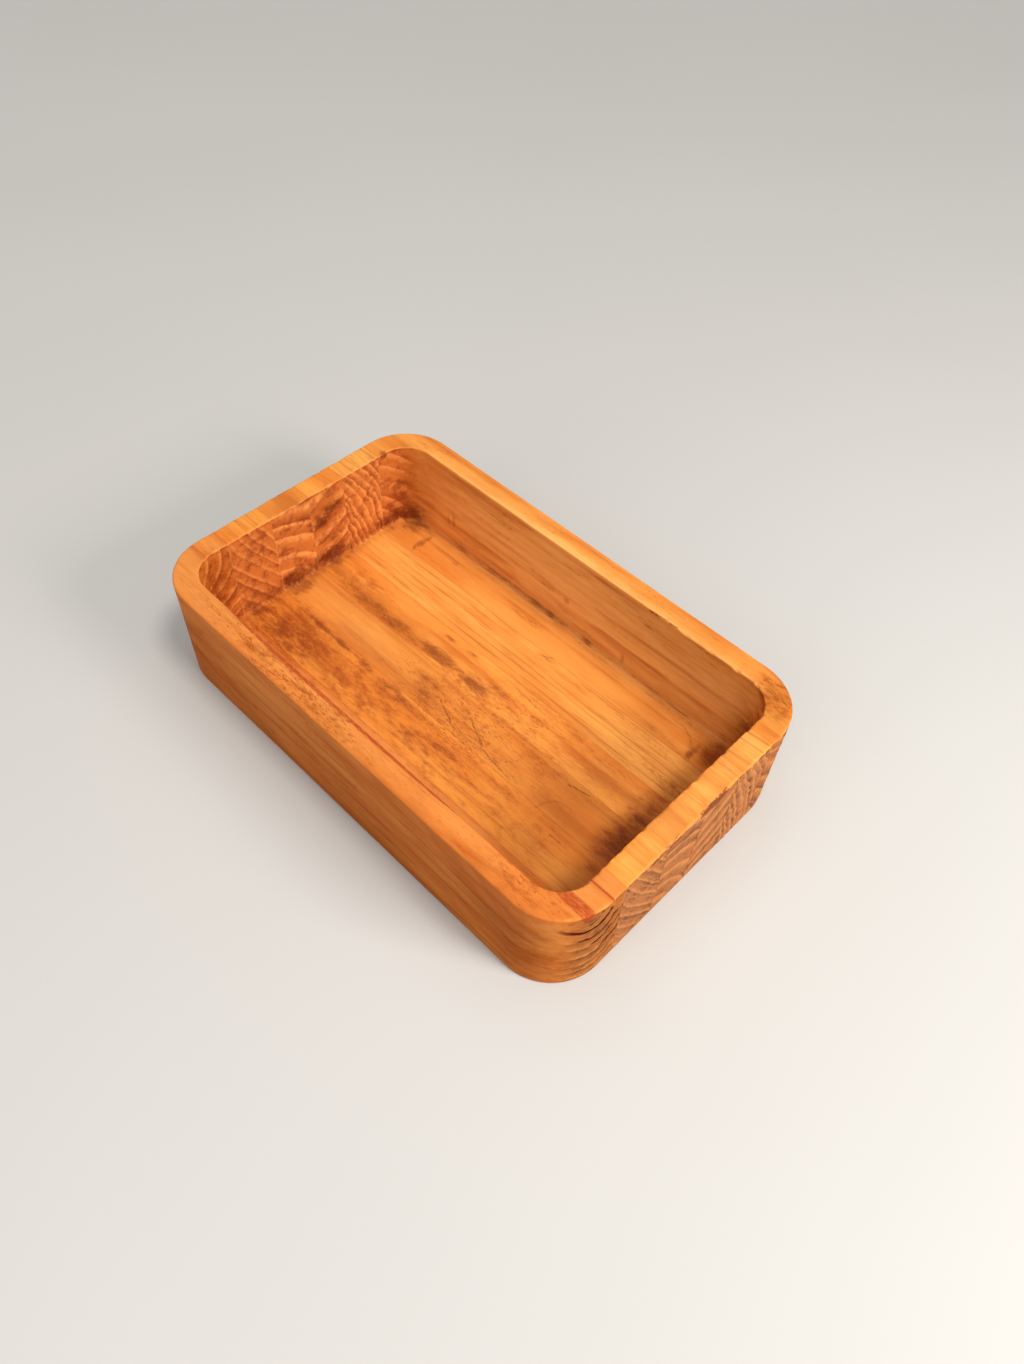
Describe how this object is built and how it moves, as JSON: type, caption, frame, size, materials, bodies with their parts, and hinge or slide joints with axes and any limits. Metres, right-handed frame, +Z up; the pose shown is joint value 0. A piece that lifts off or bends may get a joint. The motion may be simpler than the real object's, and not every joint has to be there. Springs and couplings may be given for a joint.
{
  "type": "soap slab mould",
  "caption": "Shallow open wooden mould for pouring a slab of soap, edge-glued from pine staves and hollowed out, with rounded corners.",
  "frame": {"origin": "centre of the underside, where the mould rests on the table", "axes": "+X along the grain and the long sides, +Y across the staves, +Z up out of the open top"},
  "size_m": [0.25, 0.154, 0.056],
  "materials": {
    "oiled_pine": "oiled, satin, with open end grain"
  },
  "bodies": {
    "root": {"front_wall_stave": "oiled_pine", "floor_stave_1": "oiled_pine", "floor_stave_2": "oiled_pine", "floor_stave_3": "oiled_pine", "floor_stave_4": "oiled_pine", "back_wall_stave": "oiled_pine"}
  },
  "joints": []
}
